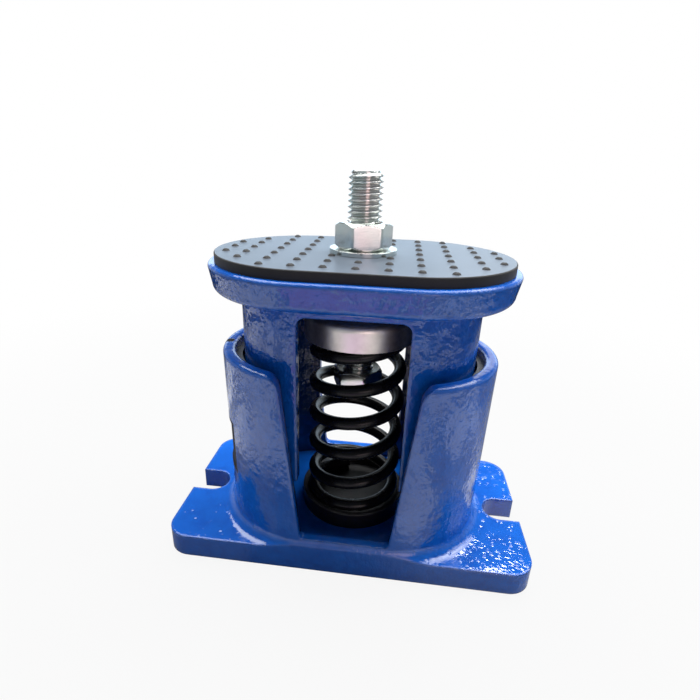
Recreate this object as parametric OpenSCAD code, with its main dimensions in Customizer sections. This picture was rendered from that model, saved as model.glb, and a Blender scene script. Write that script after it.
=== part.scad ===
// Housed spring vibration isolator: two telescoping castings over one coil spring.
// Millimetres, +Z up, origin at the middle of the underside of the base plate.

/* [Base plate] */
// Length of the base plate along X
base_l = 140; // [110:1:200]
// Depth of the base plate along Y
base_w = 71; // [68:1:100]
// Thickness of the base plate
base_t = 9; // [6:0.5:14]
// Radius of the four plate corners
base_corner_r = 9; // [3:0.5:14]
// Width of the open anchor slots in both short ends
slot_w = 13; // [9:0.5:18]
// Depth of the anchor slots from the plate end
slot_depth = 14; // [10:0.5:18]

/* [Lower housing] */
// Half distance between the two round ends of every obround
end_c = 16; // [10:0.5:24]
// Outer radius of the wall at the rim
wall_r_top = 36; // [33.5:0.25:42]
// Outer radius of the wall at the plate
wall_r_foot = 34.6; // [32.5:0.1:40]
// Inner radius of the wall
wall_r_in = 31.25; // [30.5:0.25:32]
// Height of the rim above the ground
rim_z = 79.4; // [60:0.2:88]
// Rounding of the rim edges
rim_round = 1.6; // [0.4:0.1:2]
// Cast fillet between wall and plate
foot_fillet = 5; // [1:0.25:8]
// Half width of the window at the rim
low_win_top = 24; // [18:0.5:30]
// Half width of the window at its sill
low_win_sill = 16.5; // [10:0.5:22]
// Height of the window sill
low_win_z = 13.5; // [10:0.5:24]
// Rounding where the window runs out into the rim
low_win_round = 6; // [2:0.5:9]
// Corner radius of the window at its sill
low_win_corner = 2; // [0.5:0.25:4]
// Height of the lower edge of the sunk bare field on the left end
field_z = 31.5; // [20:0.5:44]
// Height of the sunk field
field_h = 19.5; // [8:0.5:26]
// Half width of the sunk field
field_half_w = 20; // [8:0.5:26]
// Depth of the sunk field in the wall
field_deep = 0.6; // [0.3:0.1:1]

/* [Upper housing] */
// Half distance between the round ends of the flange and the pad
top_c = 17.5; // [12:0.25:24]
// Outer radius of the skirt ends at the flange
skirt_r_top = 28.25; // [27:0.05:28.4]
// Outer radius of the skirt ends at the lower edge
skirt_r_foot = 27.75; // [26.5:0.05:28.2]
// Wall thickness of the skirt
skirt_t = 4.5; // [3:0.25:6]
// Height of the lower edge of the skirt
skirt_z = 34; // [31:0.5:50]
// Underside of the flange
flange_z = 101.4; // [101.2:0.1:112]
// Thickness of the flange
flange_t = 10.1; // [5:0.1:14]
// Radius of the flange ends at the underside
flange_r_low = 36.7; // [33:0.1:44]
// Radius of the flange ends at the top edge
flange_r_top = 37.9; // [36.2:0.1:46]
// Rounding of the lower flange edge
flange_round_low = 3; // [0.5:0.25:4]
// Rounding of the upper flange edge
flange_round_top = 1.2; // [0.3:0.1:2.5]
// Underside of the ceiling inside the skirt
ceiling_z = 101; // [98:0.25:102]
// Half width of the skirt windows
up_win_half = 18.8; // [14:0.2:21]
// Top edge of the skirt windows
up_win_z = 98; // [90:0.2:100]
// Corner radius of the skirt windows
up_win_round = 3.5; // [1:0.25:6]
// Radius of the threaded boss under the ceiling
boss_r = 13; // [10:0.25:16]
// Underside of the threaded boss
boss_z = 94; // [90:0.5:96]

/* [Rubber top pad] */
// Radius of the pad ends
pad_r = 35.6; // [30:0.1:35.8]
// Thickness of the pad without its studs
pad_t = 3.4; // [2.6:0.1:8]
// Rounding of the upper pad edge
pad_round = 0.5; // [0.2:0.1:1.5]
// Column spacing of the studs
stud_dx = 10; // [8:0.25:11]
// Row spacing of the studs
stud_dy = 9.75; // [7:0.25:10]
// X of the outermost short stud columns
stud_end_x = 47.3; // [46:0.1:50]
// Radius of a stud at the pad
stud_r = 1.35; // [0.8:0.05:2]
// Height of a stud
stud_h = 0.8; // [0.4:0.05:1.2]

/* [Bolt, nut and washer] */
// Thread diameter of the bolt
bolt_d = 12; // [8:0.5:14]
// Height of the free bolt end above the ground
bolt_top_z = 142.3; // [134:0.1:170]
// Top face of the bolt head inside the spring
head_top_z = 70.5; // [60:0.5:80]
// Height of the bolt head
head_h = 7.5; // [5:0.25:9]
// Width of the bolt head across flats
head_af = 17; // [13:0.5:20]
// Turn of the bolt head, degrees
head_turn = -9.5; // [-30:0.5:30]
// Diameter of the thread where it is engaged, drawn at its pitch line
engaged_d = 10.86; // [7:0.02:13]
// Chamfer of the bolt tip
tip_cham = 1.2; // [0.5:0.1:2]
// Free height above the nut where the bolt widens to the crest diameter
thread_runout = 0.5; // [0.3:0.1:2]
// Width of the nut across flats
nut_af = 18; // [14:0.5:24]
// Height of the nut
nut_h = 9; // [6:0.1:14]
// Turn of the nut about the bolt, degrees
nut_turn = 11.7; // [0:0.1:60]
// Outer diameter of the washer
washer_d = 24; // [20:0.5:32]
// Hole of the washer
washer_hole = 13; // [12.5:0.1:15]
// Thickness of the washer
washer_t = 1.6; // [1:0.1:3]
// Clearance hole of the pad and the cup around the bolt
bolt_clear = 0.3; // [0.1:0.05:1]

/* [Spring, cup and seat] */
// Outer diameter of the coil spring
spring_od = 38; // [36:0.25:38.3]
// Wire diameter of the coil spring
wire_d = 4.8; // [4:0.1:5.4]
// Number of turns
turns = 6.6; // [5:0.02:8]
// Direction of the lower wire end, degrees
spring_turn = 101; // [0:1:360]
// Outer diameter of the steel spring cup
cup_d = 42; // [41.5:0.5:44]
// Wall of the spring cup
cup_wall = 1.6; // [1:0.1:1.75]
// Thickness of the cup top
cup_top_t = 2.5; // [1.5:0.1:4]
// Height of the spring cup
cup_h = 10; // [7:0.25:14]
// Radius of the cup shoulder
cup_round = 3; // [1:0.25:4]
// Outer diameter of the rubber seat
seat_d = 42.5; // [42:0.5:46]
// Height of the rubber seat
seat_h = 6.5; // [5:0.25:14]
// Floor thickness of the rubber seat
seat_floor = 3; // [1.5:0.25:6]
// Wall thickness of the rubber seat
seat_wall = 2; // [1.2:0.1:2.1]

/* [Guide liners] */
// Running gap between a liner and the skirt at the flange end
liner_gap = 0.65; // [0.45:0.05:1]
// Lower edge of the liners
liner_z = 30; // [12:0.5:44]
// Height of the liners
liner_h = 46; // [20:0.5:48]
// Half angle of a liner about the end centre, degrees
liner_half_angle = 50; // [25:1:60]

/* [Hidden] */
$fn = 96;
eps = 0.01;
flange_top_z = flange_z + flange_t;
pad_top_z = flange_top_z + pad_t;
nut_z = pad_top_z + washer_t;
crest_z = nut_z + nut_h + thread_runout;
stud_ball_r = (stud_r * stud_r + stud_h * stud_h) / (2 * stud_h);
cup_z = boss_z - cup_h;
spring_z0 = base_t + seat_floor;
spring_z1 = boss_z - cup_top_t;
spring_r = spring_od / 2 - wire_d / 2;
slot_r = slot_w / 2;
liner_r_in = skirt_r_top + liner_gap;
end_pitch = wire_d * 1.02;
ramp_a = 0.55;
ramp_b = 1.05;
rise = spring_z1 - spring_z0 - wire_d;
mid_pitch = end_pitch + (rise - end_pitch * turns) / (turns - ramp_a - ramp_b);
rings_per_turn = 30;
ring_n = floor(turns * rings_per_turn);
wire_n = 12;

// A solid of obround plan from one half section: two turned ends and a straight middle.
module obround(c) {
  for (s = [-1, 1])
    translate([s * c, 0, 0])
      rotate_extrude()
        children(0);
  rotate([90, 0, 90])
    translate([0, 0, -c])
      linear_extrude(2 * c)
        union() {
          children(0);
          mirror([1, 0])
            children(0);
        }
}

// Hexagon prism with both ends chamfered to a circle, like a turned nut.
module hex_body(af, h, cham) {
  intersection() {
    cylinder(h = h, r = af / sqrt(3), $fn = 6);
    rotate_extrude()
      polygon([[0, 0], [af / 2 - 0.1, 0], [af / sqrt(3) + 0.1, cham], [af / sqrt(3) + 0.1, h - cham],
        [af / 2 - 0.1, h], [0, h]]);
  }
}

module base_plate() {
  k = base_corner_r;
  difference() {
    union() {
      translate([-base_l / 2 + k, -base_w / 2, 0])
        cube([base_l - 2 * k, base_w, base_t]);
      translate([-base_l / 2, -base_w / 2 + k, 0])
        cube([base_l, base_w - 2 * k, base_t]);
      for (sx = [-1, 1], sy = [-1, 1])
        translate([sx * (base_l / 2 - k), sy * (base_w / 2 - k), 0])
          cylinder(h = base_t, r = k);
    }
    for (s = [-1, 1]) {
      translate([s * (base_l / 2 - slot_depth + slot_r), 0, -1])
        cylinder(h = base_t + 2, r = slot_r);
      translate([s * (base_l / 2 - slot_depth + slot_r + slot_depth / 2), 0, base_t / 2])
        cube([slot_depth, slot_w, base_t + 2], center = true);
    }
  }
}

module wall_section() {
  union() {
    polygon([[0, base_t - 1], [wall_r_foot, base_t - 1], [wall_r_foot, base_t], [wall_r_top, rim_z - rim_round],
      [wall_r_top - rim_round, rim_z], [0, rim_z]]);
    translate([wall_r_top - rim_round, rim_z - rim_round])
      circle(rim_round);
  }
}

// Cast fillet at the foot of the wall, cut off flush with the edge of the plate.
module foot_ring() {
  intersection() {
    obround(end_c)
      union() {
        translate([0, base_t - 1])
          square([wall_r_foot + foot_fillet, 1]);
        difference() {
          translate([0, base_t - 0.5])
            square([wall_r_foot + foot_fillet, foot_fillet + 0.5]);
          translate([wall_r_foot + foot_fillet, base_t + foot_fillet])
            circle(foot_fillet);
        }
      }
    translate([-base_l / 2, -base_w / 2, 0])
      cube([base_l, base_w, rim_z]);
  }
}

module cavity_section() {
  union() {
    translate([0, base_t])
      square([wall_r_in, rim_z]);
    difference() {
      translate([0, rim_z - rim_round])
        square([wall_r_in + rim_round, rim_round + 1]);
      translate([wall_r_in + rim_round, rim_z - rim_round])
        circle(rim_round);
    }
  }
}

module low_window() {
  lean = (low_win_top - low_win_sill) / (rim_z - low_win_z);
  k = low_win_corner;
  sx = low_win_sill + lean * k;
  rz = rim_z - low_win_round;
  rx = low_win_sill + lean * (rz - low_win_z) + low_win_round * sqrt(1 + lean * lean);
  rotate([90, 0, 0])
    translate([0, 0, -base_w])
      linear_extrude(2 * base_w)
        union() {
          polygon([[-sx, low_win_z + k], [sx, low_win_z + k], [low_win_top, rim_z],
            [low_win_top, rim_z + 5], [-low_win_top, rim_z + 5], [-low_win_top, rim_z]]);
          translate([-sx + k, low_win_z])
            square([2 * (sx - k), k + 1]);
          for (s = [-1, 1])
            translate([s * (sx - k), low_win_z + k])
              circle(k);
          difference() {
            translate([-rx, rz])
              square([2 * rx, low_win_round + 5]);
            for (s = [-1, 1])
              translate([s * rx, rz])
                circle(low_win_round);
          }
        }
}

// Sunk bare field cast in the left end of the lower housing, as a cutter.
module end_field() {
  slope = (wall_r_top - wall_r_foot) / (rim_z - base_t);
  r0 = wall_r_foot + slope * (field_z - base_t);
  r1 = wall_r_foot + slope * (field_z + field_h - base_t);
  intersection() {
    difference() {
      translate([-end_c, 0, field_z])
        cylinder(h = field_h, r = wall_r_top + 4);
      translate([-end_c, 0, field_z])
        cylinder(h = field_h, r1 = r0 - field_deep, r2 = r1 - field_deep);
    }
    translate([-end_c - 2 * wall_r_top, -field_half_w, field_z - 1])
      cube([2 * wall_r_top, 2 * field_half_w, field_h + 2]);
  }
}

module lower_housing() {
  color("royalblue")
    difference() {
      union() {
        base_plate();
        obround(end_c)
          wall_section();
        foot_ring();
      }
      end_field();
      obround(end_c)
        cavity_section();
      low_window();
      for (s = [-1, 1]) {
        translate([s * (base_l / 2 - slot_depth + slot_r), 0, base_t - 1])
          cylinder(h = 2, r = slot_r);
        translate([s * (base_l / 2 - slot_depth + slot_r + slot_depth / 2), 0, base_t])
          cube([slot_depth, slot_w, 2], center = true);
      }
    }
}

module skirt_section() {
  polygon([[0, skirt_z], [skirt_r_foot, skirt_z], [skirt_r_top, flange_z + 1], [0, flange_z + 1]]);
}

module flange_section() {
  union() {
    polygon([[0, flange_z], [flange_r_low - flange_round_low, flange_z],
      [flange_r_low, flange_z + flange_round_low], [flange_r_top, flange_top_z - flange_round_top],
      [flange_r_top - flange_round_top, flange_top_z], [0, flange_top_z]]);
    translate([flange_r_low - flange_round_low, flange_z + flange_round_low])
      circle(flange_round_low);
    translate([flange_r_top - flange_round_top, flange_top_z - flange_round_top])
      circle(flange_round_top);
  }
}

module up_window() {
  k = up_win_round;
  rotate([90, 0, 0])
    translate([0, 0, -base_w])
      linear_extrude(2 * base_w)
        union() {
          translate([-up_win_half, skirt_z - 5])
            square([2 * up_win_half, up_win_z - k - skirt_z + 5]);
          translate([-up_win_half + k, up_win_z - k - 1])
            square([2 * (up_win_half - k), k + 1]);
          for (s = [-1, 1])
            translate([s * (up_win_half - k), up_win_z - k])
              circle(k);
        }
}

module upper_housing() {
  color("royalblue")
    difference() {
      union() {
        difference() {
          union() {
            obround(end_c)
              skirt_section();
            obround(top_c)
              flange_section();
          }
          obround(end_c)
            translate([0, skirt_z - 1])
              square([skirt_r_foot - skirt_t, ceiling_z - skirt_z + 1]);
          up_window();
        }
        translate([0, 0, boss_z])
          cylinder(h = ceiling_z - boss_z + 1, r = boss_r);
      }
      translate([0, 0, boss_z - 1])
        cylinder(h = flange_top_z - boss_z + 2, d = engaged_d);
    }
}

module pad_section() {
  union() {
    square([pad_r, pad_t - pad_round]);
    square([pad_r - pad_round, pad_t]);
    translate([pad_r - pad_round, pad_t - pad_round])
      circle(pad_round);
  }
}

module stud(x, y) {
  translate([x, y, pad_top_z + stud_h - stud_ball_r])
    sphere(stud_ball_r, $fn = 32);
}

module top_pad() {
  keep_out = washer_d / 2 + stud_r + 0.3;
  color("dimgray")
    difference() {
      union() {
        translate([0, 0, flange_top_z])
          obround(top_c)
            pad_section();
        for (i = [-3:3], j = [-3:3])
          if (norm([i * stud_dx, j * stud_dy]) > keep_out)
            stud(i * stud_dx, j * stud_dy);
        for (s = [-1, 1], j = [-2:2])
          stud(s * 4 * stud_dx, j * stud_dy);
        for (s = [-1, 1], j = [-1:1])
          stud(s * stud_end_x, j * stud_dy);
      }
      translate([0, 0, flange_top_z - 1])
        cylinder(h = pad_t + 2, d = bolt_d + 2 * bolt_clear);
    }
}

module bolt() {
  low = head_top_z - 1;
  color("silver")
    union() {
      translate([0, 0, head_top_z - head_h])
        rotate([0, 0, head_turn])
          hex_body(head_af, head_h, 0.9);
      rotate_extrude()
        polygon([[0, low], [engaged_d / 2, low], [engaged_d / 2, crest_z], [bolt_d / 2, crest_z],
          [bolt_d / 2, bolt_top_z - tip_cham], [bolt_d / 2 - tip_cham, bolt_top_z], [0, bolt_top_z]]);
    }
}

module washer() {
  color("silver")
    translate([0, 0, pad_top_z])
      difference() {
        cylinder(h = washer_t, d = washer_d);
        translate([0, 0, -1])
          cylinder(h = washer_t + 2, d = washer_hole);
      }
}

module nut() {
  color("silver")
    translate([0, 0, nut_z])
      rotate([0, 0, nut_turn])
        difference() {
          hex_body(nut_af, nut_h, 1);
          translate([0, 0, -1])
            cylinder(h = nut_h + 2, d = engaged_d);
        }
}

function ramp(u, a, b) = u < a ? 0 : (u < b ? (u - a) * (u - a) / (2 * (b - a)) : u - (a + b) / 2);
function coil_z(u) = spring_z0 + wire_d / 2 + end_pitch * u
  + (mid_pitch - end_pitch) * (ramp(u, ramp_a, ramp_b) - ramp(u, turns - ramp_b, turns - ramp_a));
function ring_point(i, k) =
  let (u = turns * i / ring_n, a = spring_turn + 360 * u, t = 360 * k / wire_n,
    r = spring_r + wire_d / 2 * cos(t))
  [r * cos(a), r * sin(a), coil_z(u) + wire_d / 2 * sin(t)];

module spring() {
  points = [for (i = [0:ring_n], k = [0:wire_n - 1]) ring_point(i, k)];
  sides = [for (i = [0:ring_n - 1], k = [0:wire_n - 1])
    [i * wire_n + k, (i + 1) * wire_n + k, (i + 1) * wire_n + (k + 1) % wire_n, i * wire_n + (k + 1) % wire_n]];
  start = [for (k = [0:wire_n - 1]) k];
  end = [for (k = [0:wire_n - 1]) ring_n * wire_n + wire_n - 1 - k];
  color("black")
    polyhedron(points, concat(sides, [start], [end]), convexity = 10);
}

module spring_cup() {
  color("lightsteelblue")
    translate([0, 0, cup_z])
      difference() {
        rotate_extrude()
          union() {
            square([cup_d / 2, cup_h - cup_round]);
            square([cup_d / 2 - cup_round, cup_h]);
            translate([cup_d / 2 - cup_round, cup_h - cup_round])
              circle(cup_round);
          }
        translate([0, 0, -1])
          cylinder(h = cup_h - cup_top_t + 1, d = cup_d - 2 * cup_wall);
        cylinder(h = cup_h + 1, d = bolt_d + 2 * bolt_clear);
      }
}

module spring_seat() {
  color([0.08, 0.08, 0.08])
    translate([0, 0, base_t])
      difference() {
        cylinder(h = seat_h, d = seat_d);
        translate([0, 0, seat_floor])
          cylinder(h = seat_h, d = seat_d - 2 * seat_wall);
      }
}

module liner(s) {
  a = liner_half_angle;
  color([0.1, 0.1, 0.1])
    translate([s * end_c, 0, liner_z])
      rotate([0, 0, s > 0 ? -a : 180 - a])
        rotate_extrude(angle = 2 * a)
          translate([liner_r_in, 0])
            square([wall_r_in - liner_r_in, liner_h]);
}

module liner_left() {
  liner(-1);
}

module liner_right() {
  liner(1);
}

lower_housing();
liner_left();
liner_right();
spring_seat();
spring();
spring_cup();
upper_housing();
top_pad();
bolt();
washer();
nut();
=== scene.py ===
"""Looks of a housed spring vibration isolator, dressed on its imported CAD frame. Metres, +Z up."""

import math

import bpy
from mathutils import Matrix, Vector


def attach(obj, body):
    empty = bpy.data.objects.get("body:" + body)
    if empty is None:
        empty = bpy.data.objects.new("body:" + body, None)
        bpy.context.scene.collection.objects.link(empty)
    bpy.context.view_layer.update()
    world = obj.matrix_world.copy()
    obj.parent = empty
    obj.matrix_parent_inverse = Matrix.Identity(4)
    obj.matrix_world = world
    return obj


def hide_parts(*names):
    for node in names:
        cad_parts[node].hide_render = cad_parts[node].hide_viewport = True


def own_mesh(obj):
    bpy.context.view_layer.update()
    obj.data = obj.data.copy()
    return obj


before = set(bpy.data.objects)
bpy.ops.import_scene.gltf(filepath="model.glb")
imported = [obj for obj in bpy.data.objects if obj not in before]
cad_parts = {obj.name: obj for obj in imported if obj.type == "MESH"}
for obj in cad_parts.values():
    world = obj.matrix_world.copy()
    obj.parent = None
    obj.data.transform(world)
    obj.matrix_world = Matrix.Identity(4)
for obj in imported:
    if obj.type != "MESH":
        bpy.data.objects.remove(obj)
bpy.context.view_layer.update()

# Lower housing: an iron casting with an obround wall, two tapered windows and a slotted base plate.
# It is dipped in glossy blue enamel that fills the sand texture only in part, so the gloss breaks up into pebbles.
# Edges are rounded by the mould, and the base plate's top is rougher than the walls.


class Wire:
    """One output of a finish's nodes. Python maths on it adds Math nodes to the same tree."""

    def __init__(self, tree, socket=None):
        self.tree, self.socket = tree, socket

    def node(self, kind, settings=None, sockets=None, out=0):
        made = self.tree.nodes.new(kind)
        for key, value in (settings or {}).items():
            setattr(made, key, value)
        for key, value in (sockets or {}).items():
            if isinstance(value, Wire):
                self.tree.links.new(value.socket, made.inputs[key])
            else:
                made.inputs[key].default_value = value
        return Wire(self.tree, made.outputs[out] if made.outputs else None)

    def maths(self, operation, *values):
        return self.node("ShaderNodeMath", {"operation": operation}, dict(enumerate(values)))

    def __add__(self, other):
        return self.maths("ADD", self, other)

    __radd__ = __add__

    def __mul__(self, other):
        return self.maths("MULTIPLY", self, other)

    __rmul__ = __mul__

    def __sub__(self, other):
        return self.maths("SUBTRACT", self, other)

    def __rsub__(self, other):
        return self.maths("SUBTRACT", other, self)

    def step(self, low, high):
        """0 below low, 1 above high, smooth between."""
        return self.node("ShaderNodeMapRange", {"interpolation_type": "SMOOTHSTEP"},
                         {"Value": self, "From Min": low, "From Max": high})

    def grain(self, scale, detail=2.0, rough=0.5):
        """Noise over a place, with scale in lumps a metre."""
        return self.node("ShaderNodeTexNoise", {},
                         {"Vector": self, "Scale": scale, "Detail": detail, "Roughness": rough})

    def stretched(self, x, y, z):
        return self.node("ShaderNodeVectorMath", {"operation": "MULTIPLY"}, {0: self, 1: (x, y, z)})

    def tint(self, first, second):
        """Colour between first and second, by this value."""
        return self.node("ShaderNodeMix", {"data_type": "RGBA"}, {0: self, 6: first, 7: second}, out=2)


def finish(name):
    """A bare material, a Wire to start from and the place on the object, in metres."""
    made = bpy.data.materials.new(name)
    made.use_nodes = True
    made.node_tree.nodes.clear()
    start = Wire(made.node_tree)
    return made, start, start.node("ShaderNodeTexCoord", out="Object")


def close(start, **values):
    """The surface shader of a finish; underscores in the names stand for spaces."""
    shader = start.node("ShaderNodeBsdfPrincipled", {}, {k.replace("_", " "): v for k, v in values.items()})
    start.node("ShaderNodeOutputMaterial", {}, {"Surface": shader})


def dress(node, material):
    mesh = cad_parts[node].data
    mesh.materials.clear()
    mesh.materials.append(material)


def dip_enamel(name, hollow):
    """The dipped coat of one casting; its walls inside, where hollow is their radius, get a painted shade that
    darkens their blue.
    """
    made, w, place = finish(name)
    facing = w.node("ShaderNodeNewGeometry", out="Normal")
    upward = w.node("ShaderNodeSeparateXYZ", {}, {0: facing}, out=2).step(0.35, 0.9)
    along = w.node("ShaderNodeSeparateXYZ", {}, {0: place}, out=0)
    across = w.node("ShaderNodeSeparateXYZ", {}, {0: place}, out=1)
    up = w.node("ShaderNodeSeparateXYZ", {}, {0: place}, out=2)
    # The walls are obround: reach is the distance from the line between the centres of the two round ends.
    end_centre = 0.016
    past_end = w.maths("MAXIMUM", w.maths("ABSOLUTE", along) - end_centre, 0.0)
    reach = w.maths("SQRT", past_end * past_end + across * across)
    # Painted shade: the blue of the inner walls is darkened towards near black and made a little rougher.
    painted_inner_shade = (1 - reach.step(hollow + 0.0002, hollow + 0.0028)) * (1 - upward)
    lumps = place.grain(200, 2.0, 0.5)
    ripple = place.stretched(1, 1, 0.75).grain(520, 2.0, 0.5)
    # The top of the base plate is gritty, and more so on its right half.
    plate = upward * (1 - up.step(0.02, 0.03))
    cells = w.node("ShaderNodeTexVoronoi", {"feature": "SMOOTH_F1"},
                   {"Vector": place, "Scale": 420, "Smoothness": 0.3})
    grits = (1 - cells.step(0.0, 0.42)) * place.grain(170, 1.0, 0.5).step(0.25, 0.6)
    grits = grits * (along.step(-0.045, 0.035) * 0.75 + 0.25)
    peel = place.grain(1500, 1.0, 0.5)
    pool = place.grain(45, 2.0, 0.5)
    # A chip on the left rim, where the enamel is off, and the sunk field in the left end: both are coloured dull and
    # nearly black.
    chip_at, chip_r = (-0.0497, -0.0047, 0.0794), 0.0021
    from_chip = w.node("ShaderNodeVectorMath", {"operation": "DISTANCE"}, {0: place, 1: chip_at}, out="Value")
    chip = 1 - (from_chip + peel * 0.001).step(chip_r, chip_r + 0.0004)
    field_low, field_high, field_half = 0.0305, 0.0524, 0.0214
    blur = 0.0001
    field = reach.step(0.0335, 0.0336) * (0 - along).step(0.036, 0.0361)
    field = field * up.step(field_low - blur, field_low + blur) * (1 - up.step(field_high - blur, field_high + blur))
    field = field * (1 - w.maths("ABSOLUTE", across).step(field_half - blur, field_half + blur))
    chip_and_dark_field = w.maths("MAXIMUM", chip, field)
    # The ripple comes and goes in patches, and it is flatter on faces that lie level.
    rough = place.grain(75, 1.0, 0.5).step(0.4, 0.6) * 0.7 + 0.35
    height = lumps * (0.9 - upward * 0.5) + ripple * rough * (0.95 - upward * 0.72)
    height = height + grits * plate * 0.38 + peel * 0.015 - chip * 0.5
    rounded = w.node("ShaderNodeBevel", {"samples": 6}, {"Radius": 0.0014})
    relief = w.node("ShaderNodeBump", {}, {"Strength": 1.0, "Distance": 0.0004,
                                           "Height": height, "Normal": rounded})
    blue = pool.step(0.3, 0.75).tint((0.004, 0.108, 0.53, 1), (0.006, 0.134, 0.62, 1))
    blue = (lumps.step(0.15, 0.6) * 0.7 + 0.3).tint((0.003, 0.08, 0.45, 1), blue)
    # Painted shade on the inner walls.
    blue = (painted_inner_shade * 0.85).tint(blue, (0.001, 0.014, 0.07, 1))
    blue = chip_and_dark_field.tint(blue, (0.008, 0.009, 0.014, 1))
    close(w, Base_Color=blue, Roughness=pool * 0.05 + 0.04 + chip_and_dark_field * 0.9 + painted_inner_shade * 0.1,
          Normal=relief, IOR=1.65)
    return made


dress("lower_housing", dip_enamel("blue_enamel", 0.03125))

# Guide liners: two strips of black moulded rubber lining the round ends of the lower housing.
# They are bonded to the wall and keep the skirt from rattling.
# Their top edges are painted grey as a highlight.
rubber, w, place = finish("liner_rubber")
skin = place.grain(1400, 3.0, 0.6)
bloom_and_painted_sheen = place.grain(120, 3.0, 0.6)
liner_highlight_low, liner_highlight_high = 0.0752, 0.0759
# Painted highlight: a thin grey band along the top edge of each liner.
painted_liner_highlight = w.node("ShaderNodeSeparateXYZ", {}, {0: place}, out=2).step(liner_highlight_low, liner_highlight_high)
relief = w.node("ShaderNodeBump", {}, {"Strength": 0.5, "Distance": 0.0001, "Height": skin})
black = bloom_and_painted_sheen.step(0.35, 0.8).tint((0.006, 0.006, 0.007, 1), (0.016, 0.016, 0.018, 1))
close(w, Base_Color=(painted_liner_highlight * 0.7).tint(black, (0.07, 0.075, 0.085, 1)),
      Roughness=bloom_and_painted_sheen * 0.2 + 0.24, Normal=relief)
dress("liner_left", rubber)
dress("liner_right", rubber)

# Spring seat: a moulded rubber cup that stands on the base plate and takes the lower end of the spring.
# It is about as dark and smooth as the liners, with a paler rim that is a painted highlight.
seat_rubber, w, place = finish("seat_rubber")
skin = place.grain(1100, 3.0, 0.6)
seat_highlight_low, seat_highlight_high = 0.0147, 0.0154
# Painted highlight: a paler band round the top of the seat's rim.
painted_seat_highlight = w.node("ShaderNodeSeparateXYZ", {}, {0: place}, out=2).step(seat_highlight_low, seat_highlight_high)
relief = w.node("ShaderNodeBump", {}, {"Strength": 0.5, "Distance": 0.00012, "Height": skin,
                                       "Normal": w.node("ShaderNodeBevel", {"samples": 4}, {"Radius": 0.0006})})
close(w, Base_Color=(painted_seat_highlight * 0.8).tint((0.009, 0.009, 0.01, 1), (0.035, 0.036, 0.038, 1)),
      Roughness=skin * 0.2 + 0.22, Normal=relief)
dress("spring_seat", seat_rubber)

# Coil spring: hardened wire wound right-handed, with closed ends, dipped in gloss black.
# It stands in the seat and carries the cup; squeezing it is the isolator's only motion.
# The mesh follows the same winding as the solid, with more facets round the wire and along it.
wire_r, coil_r = 0.0024, 0.0166
spring_low, spring_high = 0.012, 0.0915
turn_count, end_pitch = 6.6, 0.004896
ramp_from, ramp_to = 0.55, 1.05
lower_end = math.radians(101)
steps_per_turn, wire_sides = 64, 24
climb = spring_high - spring_low - 2 * wire_r
mid_pitch = end_pitch + (climb - end_pitch * turn_count) / (turn_count - ramp_from - ramp_to)


def ramp_up(turn, low, high):
    """How far a slope has climbed that goes from 0 to 1 between the turns low and high."""
    if turn < low:
        return 0.0
    if turn < high:
        return (turn - low) ** 2 / (2 * (high - low))
    return turn - (low + high) / 2


def coil_height(turn):
    """Height of the wire's middle: closed turns at both ends, an even pitch between."""
    steep = ramp_up(turn, ramp_from, ramp_to) - ramp_up(turn, turn_count - ramp_to, turn_count - ramp_from)
    return spring_low + wire_r + end_pitch * turn + (mid_pitch - end_pitch) * steep


def grid_piece(name, rows, close_ends=True):
    """A tube-like mesh from rows of points, each row a closed ring."""
    count = len(rows[0])
    points = [p for row in rows for p in row]
    faces = [(i * count + k, i * count + (k + 1) % count,
              (i + 1) * count + (k + 1) % count, (i + 1) * count + k)
             for i in range(len(rows) - 1) for k in range(count)]
    if close_ends:
        faces.append(tuple(range(count - 1, -1, -1)))
        faces.append(tuple((len(rows) - 1) * count + k for k in range(count)))
    mesh = bpy.data.meshes.new(name)
    mesh.from_pydata(points, [], faces)
    mesh.update()
    made = bpy.data.objects.new(name, mesh)
    bpy.context.scene.collection.objects.link(made)
    return made


def soften(piece, degrees):
    """Smooth shading with edges kept where the faces turn more than this."""
    piece.data.shade_smooth()
    piece.data.set_sharp_from_angle(angle=math.radians(degrees))


rows = []
steps = int(turn_count * steps_per_turn)
for i in range(steps + 1):
    turn = turn_count * i / steps
    around = lower_end + 2 * math.pi * turn
    # The cut wire ends have a small chamfer.
    r_here = wire_r * (0.86 if i in (0, steps) else 1.0)
    rows.append([])
    for k in range(wire_sides):
        a = 2 * math.pi * k / wire_sides
        r = coil_r + r_here * math.cos(a)
        rows[-1].append((r * math.cos(around), r * math.sin(around), coil_height(turn) + r_here * math.sin(a)))
coil = grid_piece("coil", [row[::-1] for row in rows])
soften(coil, 50)
black, w, place = finish("gloss_black")
runs = place.grain(160, 3.0, 0.55)
peel = place.grain(900, 1.0, 0.5)
relief = w.node("ShaderNodeBump", {}, {"Strength": 0.35, "Distance": 0.00012,
                                       "Height": runs * 0.8 + peel * 0.25})
close(w, Base_Color=runs.step(0.3, 0.75).tint((0.004, 0.004, 0.005, 1), (0.009, 0.009, 0.011, 1)),
      Roughness=runs * 0.12 + 0.2, Normal=relief, IOR=1.32)
coil.data.materials.append(black)
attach(coil, "base")
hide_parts("spring")
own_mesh(coil)

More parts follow.
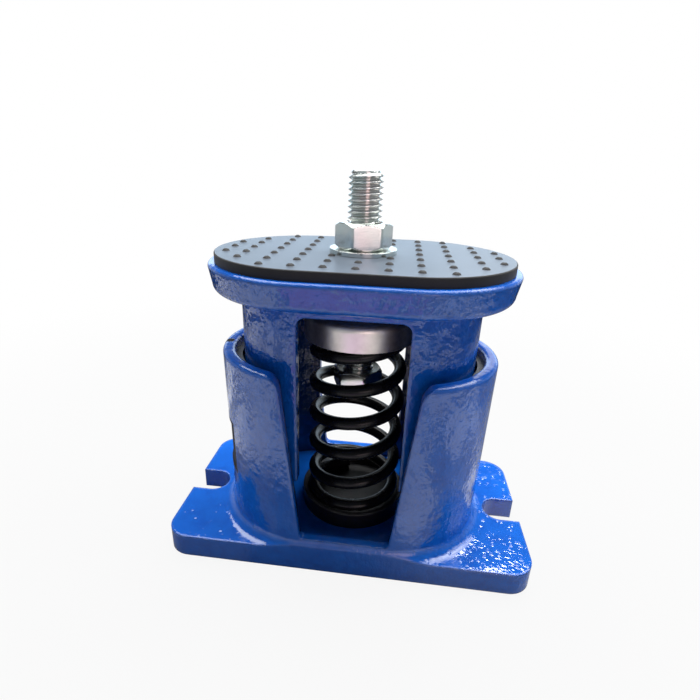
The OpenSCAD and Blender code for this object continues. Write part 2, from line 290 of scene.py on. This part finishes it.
# Spring cup: a drawn steel cup, bright and spun, pressed down on the spring by the boss of the upper housing.
# Fine turning marks run round it, with a few dull stains.
spun, w, place = finish("spun_steel")
rings = place.stretched(12, 12, 900).grain(6, 3.0, 0.6)
stain = place.grain(140, 3.0, 0.6)
relief = w.node("ShaderNodeBump", {}, {"Strength": 0.35, "Distance": 0.00006, "Height": rings,
                                       "Normal": w.node("ShaderNodeBevel", {"samples": 4}, {"Radius": 0.0005})})
close(w, Base_Color=stain.step(0.4, 0.75).tint((0.88, 0.83, 0.77, 1), (0.72, 0.67, 0.61, 1)),
      Metallic=1.0, Roughness=rings * 0.2 + 0.24 + stain * 0.1, Normal=relief)
dress("spring_cup", spun)

# Upper housing: the second casting, a flange on an obround skirt that slides inside the lower one.
# It has the same dipped blue enamel.
dress("upper_housing", dip_enamel("blue_enamel_top", 0.02325))

# Top pad: moulded black rubber with a grid of low studs, laid on the flange under the machine's foot.
# Its level top and the crowns of the studs get a paler bluish colour, part dust bloom and part painted sheen for the
# pale low-angle gloss, and the flanks stay dark.
pad_rubber, w, place = finish("pad_rubber")
skin = place.grain(1300, 3.0, 0.6)
cloud = place.grain(55, 3.0, 0.6)
relief = w.node("ShaderNodeBump", {}, {"Strength": 0.25, "Distance": 0.00008, "Height": skin,
                                       "Normal": w.node("ShaderNodeBevel", {"samples": 4}, {"Radius": 0.0005})})
facing = w.node("ShaderNodeNewGeometry", out="Normal")
# Painted sheen: faces that lie level get the paler bluish colour and a sheen lobe, and the flanks get the dark
# shader.
painted_sheen_top = w.node("ShaderNodeSeparateXYZ", {}, {0: facing}, out=2).step(0.95, 0.995)
bloom_and_painted_sheen = cloud.step(0.3, 0.7).tint((0.062, 0.08, 0.11, 1), (0.115, 0.145, 0.19, 1))
flank = w.node("ShaderNodeBsdfPrincipled", {}, {
    "Base Color": cloud.step(0.3, 0.75).tint((0.022, 0.022, 0.023, 1), (0.03, 0.03, 0.031, 1)),
    "Roughness": cloud * 0.2 + 0.48, "Normal": relief, "IOR": 1.36, "Sheen Weight": 0.05})
crown = w.node("ShaderNodeBsdfPrincipled", {}, {
    "Base Color": bloom_and_painted_sheen, "Roughness": cloud * 0.2 + 0.22 + skin * 0.04, "Normal": relief,
    "Sheen Weight": 1.0, "Sheen Roughness": 0.3, "Sheen Tint": (0.7, 0.86, 1.0, 1)})
w.node("ShaderNodeOutputMaterial", {}, {
    "Surface": w.node("ShaderNodeMixShader", {}, {0: painted_sheen_top, 1: flank, 2: crown})})
dress("top_pad", pad_rubber)

# Bolt: a zinc-plated steel bolt with a rolled M12 thread over its whole shank.
# The head hangs inside the spring, and the free end stands above the nut.
# The thread's crests and roots follow one helix, and the tip is chamfered.
bolt_tip, head_top, head_low = 0.1423, 0.0705, 0.063
crest_r, root_r, thread_pitch = 0.00597, 0.0049, 0.0019
tip_chamfer = 0.0012
hidden_r, hidden_low, hidden_high = 0.0054, 0.0938, 0.1258
around_n = 72
rows = []
turn_rows = int((bolt_tip - head_top) / thread_pitch) + 3
for i in range(-2, turn_rows):
    for share, r in ((0.0, crest_r), (0.22, crest_r), (0.55, root_r), (0.67, root_r)):
        row = []
        for k in range(around_n + 1):
            a = 2 * math.pi * k / around_n
            z = head_top + thread_pitch * (i + share + k / around_n)
            z_in = min(max(z, head_top - 0.0005), bolt_tip)
            # The stretch inside the castings and the nut is out of sight, and stays clear of their bores.
            r_in = min(r, hidden_r) if hidden_low < z_in < hidden_high else r
            r_in = min(r_in, crest_r - tip_chamfer + (bolt_tip - z_in))
            row.append((r_in * math.cos(a), r_in * math.sin(a), z_in))
        rows.append(row)
points = [p for row in rows for p in row]
wide = around_n + 1
faces = [(i * wide + k, i * wide + k + 1, (i + 1) * wide + k + 1, (i + 1) * wide + k)
         for i in range(len(rows) - 1) for k in range(around_n)]
# The tip's flat face, then the head: a hexagon whose corners are turned off in a cone at both ends.
ring = len(points)
tip_r = crest_r - tip_chamfer
points += [(tip_r * math.cos(2 * math.pi * k / around_n), tip_r * math.sin(2 * math.pi * k / around_n), bolt_tip)
           for k in range(around_n)]
faces.append(tuple(range(ring, ring + around_n)))
head_n = 180


def hex_reach(around, turn, flat, soft):
    """How far a hexagon with softened corners reaches; its corners are at turn and every 60 degrees on."""
    aside = abs((around - turn) % (math.pi / 3) - math.pi / 6)
    if flat * math.tan(aside) <= (flat - soft) * math.tan(math.pi / 6):
        return flat / math.cos(aside)
    corner, off = (flat - soft) / math.cos(math.pi / 6), math.pi / 6 - aside
    return corner * math.cos(off) + math.sqrt(max(soft ** 2 - (corner * math.sin(off)) ** 2, 0))


def hex_rows(low, high, flat, soft, turned_off, turn, inner):
    """Rings up the outside of a hexagon whose corners are turned off in a cone at both ends, over turned_off."""
    cone_r, cone_steps = flat - 0.0002, 5
    wide = flat / math.cos(math.pi / 6) - flat + 0.0003
    cone = [(turned_off * t / cone_steps, cone_r + wide * t / cone_steps) for t in range(1, cone_steps + 1)]
    levels = [(low, inner), (low, cone_r)]
    levels += [(low + rise, r) for rise, r in cone]
    levels += [(high - rise, r) for rise, r in cone[::-1]]
    levels += [(high, cone_r), (high, inner)]
    ring_rows = []
    for z, limit in levels:
        ring_rows.append([])
        for k in range(head_n):
            a = 2 * math.pi * k / head_n
            r = min(hex_reach(a, turn, flat, soft), limit)
            ring_rows[-1].append((r * math.cos(a), r * math.sin(a), z))
    return ring_rows


head_rows = hex_rows(head_low, head_top, flat=0.0085, soft=0.0005, turned_off=0.0009,
                     turn=math.radians(-9.5), inner=0.005)
first = ring + around_n
points += [p for row in head_rows for p in row]
faces += [(first + i * head_n + k, first + i * head_n + (k + 1) % head_n,
           first + (i + 1) * head_n + (k + 1) % head_n, first + (i + 1) * head_n + k)
          for i in range(len(head_rows) - 1) for k in range(head_n)]
faces.append(tuple(first + k for k in range(head_n - 1, -1, -1)))
mesh = bpy.data.meshes.new("threaded_bolt")
mesh.from_pydata(points, [], faces)
mesh.validate()
mesh.update()
threaded = bpy.data.objects.new("threaded_bolt", mesh)
bpy.context.scene.collection.objects.link(threaded)
soften(threaded, 28)
zinc, w, place = finish("bright_zinc")
film = place.grain(90, 2.0, 0.5)
film_two = place.stretched(1, 1, 0.6).grain(130, 2.0, 0.5)
marks = place.stretched(1, 1, 6).grain(260, 4.0, 0.65)
tone = film.step(0.35, 0.7).tint((0.66, 0.7, 0.66, 1), (0.72, 0.68, 0.65, 1))
tone = (film_two.step(0.45, 0.8) * 0.8).tint(tone, (0.6, 0.7, 0.71, 1))
relief = w.node("ShaderNodeBump", {}, {"Strength": 0.12, "Distance": 0.00005, "Height": marks,
                                       "Normal": w.node("ShaderNodeBevel", {"samples": 4}, {"Radius": 0.0004})})
close(w, Base_Color=tone, Metallic=1.0, Roughness=marks * 0.12 + 0.14, Normal=relief)
threaded.data.materials.append(zinc)
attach(threaded, "top")
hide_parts("bolt")

# Washer and nut: stamped and pressed steel with the same bright zinc, run down on the pad by hand.
# The nut's corners are turned off in a cone at both ends, its edges are soft, and its bore is countersunk.
dress("washer", zinc)
nut_low, nut_high = 0.1165, 0.1255
bore_r, sink_r, sink_top, sink_low = 0.0056, 0.0068, 0.0009, 0.0007
nut_rows = hex_rows(nut_low, nut_high, flat=0.009, soft=0.0009, turned_off=0.0014,
                    turn=math.radians(11.7), inner=sink_r)
nut_rows.append([(bore_r / sink_r * x, bore_r / sink_r * y, z - sink_top) for x, y, z in nut_rows[-1]])
nut_rows.append([(x, y, nut_low + sink_low) for x, y, z in nut_rows[-1]])
nut_rows.append(nut_rows[0])
pressed_nut = grid_piece("pressed_nut", nut_rows, close_ends=False)
soften(pressed_nut, 24)
pressed_nut.data.materials.append(zinc)
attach(pressed_nut, "top")
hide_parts("nut")

# Studio: a pale floor that runs out into a white backdrop, a wide soft panel overhead and small ones round about.
# To the camera the backdrop is white, and on the floor the object keeps only a faint shadow.
# In the enamel's reflections the floor is bright in front and dark close by, far off and behind.
floor = bpy.data.meshes.new("floor")
floor_r = 0.65
edge_points = [(floor_r * math.cos(math.radians(a)), floor_r * math.sin(math.radians(a)), 0)
               for a in range(0, 360, 5)]
floor.from_pydata(edge_points, [], [tuple(range(len(edge_points)))])
ground = bpy.data.objects.new("floor", floor)
bpy.context.scene.collection.objects.link(ground)
ground.location.z = -0.0002
pale, w, place = finish("pale_floor")


def seen_rays(w):
    """1 for rays from the camera, then 1 for rays from the camera, a mirror or glass."""
    camera_ray = w.node("ShaderNodeLightPath", out="Is Camera Ray")
    gloss_ray = w.node("ShaderNodeLightPath", out="Is Glossy Ray")
    clear_ray = w.node("ShaderNodeLightPath", out="Is Transmission Ray")
    return camera_ray, w.maths("MAXIMUM", camera_ray, w.maths("MAXIMUM", gloss_ray, clear_ray))


camera_ray, seen = seen_rays(w)
away = w.node("ShaderNodeVectorMath", {"operation": "LENGTH"}, {0: place}, out="Value").step(0.13, 0.42)
matt = w.node("ShaderNodeBsdfDiffuse", {}, {"Color": (0.34, 0.34, 0.34, 1)})
# How bright the floor is in reflections, as rings round a point left of the object, with loose patches.
moved = w.node("ShaderNodeVectorMath", {"operation": "ADD"}, {0: place, 1: (0.035, 0, 0)})
far_off = w.node("ShaderNodeVectorMath", {"operation": "LENGTH"}, {0: moved.stretched(0.75, 0.6, 1)}, out="Value")
patches = place.grain(14, 1.0, 0.5).step(0.5, 0.56)
rear = w.node("ShaderNodeVectorMath", {"operation": "DOT_PRODUCT"}, {0: place, 1: (0.25, 1, 0)}, out="Value")
rear = rear.step(0.03, 0.09)
glow = (1 - far_off.step(0.205, 0.22) * 0.85) * (0.15 + 0.85 * far_off.step(0.036, 0.062))
glow = glow * (1 - rear * 0.85) * (1.38 - patches * 0.9)
# A violet card on the floor in front, out of the picture, colours the middle of the flange.
card = w.node("ShaderNodeVectorMath", {"operation": "DISTANCE"},
              {0: place.stretched(1, 1.3, 1), 1: (-0.018, -0.27, 0)}, out="Value").step(0.08, 0.1)
tone = ((1 - card) * (1 - camera_ray)).tint((1, 1, 1, 1), (0.84, 0.46, 0.96, 1))
white = w.node("ShaderNodeEmission", {}, {"Color": tone, "Strength": camera_ray + (1 - camera_ray) * glow})
whiteness = seen * (away * 0.22 + 0.78) + camera_ray * (1 - away) * 0.12
mixed = w.node("ShaderNodeMixShader", {}, {0: whiteness, 1: matt, 2: white})
w.node("ShaderNodeOutputMaterial", {}, {"Surface": mixed})
floor.materials.append(pale)

world = bpy.data.worlds.new("studio")
bpy.context.scene.world = world
world.use_nodes = True
world.node_tree.nodes.clear()
w = Wire(world.node_tree)
camera_ray, seen = seen_rays(w)
direction = w.node("ShaderNodeTexCoord", out="Generated")
ceiling = w.node("ShaderNodeSeparateXYZ", {}, {0: direction}, out=2).step(0.2, 0.44)
behind = w.node("ShaderNodeSeparateXYZ", {}, {0: direction}, out=1).step(-0.1, 0.5)
strength = camera_ray + (1 - camera_ray) * (seen * (behind * 0.15 + 0.42) * (1 - ceiling * 0.85) + 0.08)
sky_tone = camera_ray.tint((0.85, 0.93, 1, 1), (1, 1, 1, 1))
sky = w.node("ShaderNodeBackground", {}, {"Color": sky_tone, "Strength": strength})
w.node("ShaderNodeOutputWorld", {}, {"Surface": sky})


def panel(name, at, toward, wide, tall, power, colour=(1, 1, 1)):
    """A soft lamp of wide by tall metres, aimed at a point, with its power in watts."""
    lamp = bpy.data.lights.new(name, "AREA")
    lamp.shape = "RECTANGLE"
    lamp.size, lamp.size_y, lamp.energy, lamp.color = wide, tall, power, colour
    made = bpy.data.objects.new(name, lamp)
    bpy.context.scene.collection.objects.link(made)
    made.location = at
    made.rotation_euler = (Vector(toward) - Vector(at)).to_track_quat("-Z", "Y").to_euler()
    made.visible_camera = False


panel("overhead", (0.0, 0.24, 0.95), (0, 0, 0.05), 1.6, 0.86, 25.0)
panel("right", (0.75, 0.2, 0.8), (0, 0, 0.05), 0.5, 0.5, 2.6)
panel("window", (0.28, 0.63, 0.8), (0, 0, 0.05), 0.12, 0.11, 1.1)
panel("back_right", (0.3, 0.95, 0.47), (0, 0, 0.08), 0.4, 0.2, 0.32)
panel("back_low", (0, 0.95, 0.25), (0, 0, 0.115), 1.6, 0.24, 2.1, (0.62, 0.81, 1.0))
panel("front_low", (0.28, -0.8, 0.17), (0, 0, 0.1), 0.35, 0.32, 0.72, (1.0, 0.74, 0.76))

# Camera: close in front, a little to the right and above, as the photograph was taken.
# Its place, its angles (in radians), its focal length and the middle of its picture (in pixels) were fitted to it.
stands_at = (0.01239, -0.17054, 0.1449)
turned, tipped, rolled = 0.115, 0.38, 0.03
focal_px, middle_x, middle_y, picture_px, film = 474.4, 339.9, 350.8, 700, 36
ahead = Vector((-math.sin(turned) * math.cos(tipped), math.cos(turned) * math.cos(tipped), -math.sin(tipped)))
level = Vector((math.cos(turned), math.sin(turned), 0))
over = level.cross(ahead)
across = math.cos(rolled) * level + math.sin(rolled) * over
above = -math.sin(rolled) * level + math.cos(rolled) * over
lens = bpy.data.cameras.new("camera")
lens.sensor_width, lens.lens = film, film * focal_px / picture_px
lens.shift_x, lens.shift_y = (picture_px / 2 - middle_x) / picture_px, (middle_y - picture_px / 2) / picture_px
lens.clip_start, lens.clip_end = 0.01, 20
camera = bpy.data.objects.new("camera", lens)
bpy.context.scene.collection.objects.link(camera)
camera.matrix_world = Matrix((
    (across.x, above.x, -ahead.x, stands_at[0]),
    (across.y, above.y, -ahead.y, stands_at[1]),
    (across.z, above.z, -ahead.z, stands_at[2]),
    (0, 0, 0, 1)))
bpy.context.scene.camera = camera

bpy.context.scene.view_settings.view_transform = "Standard"
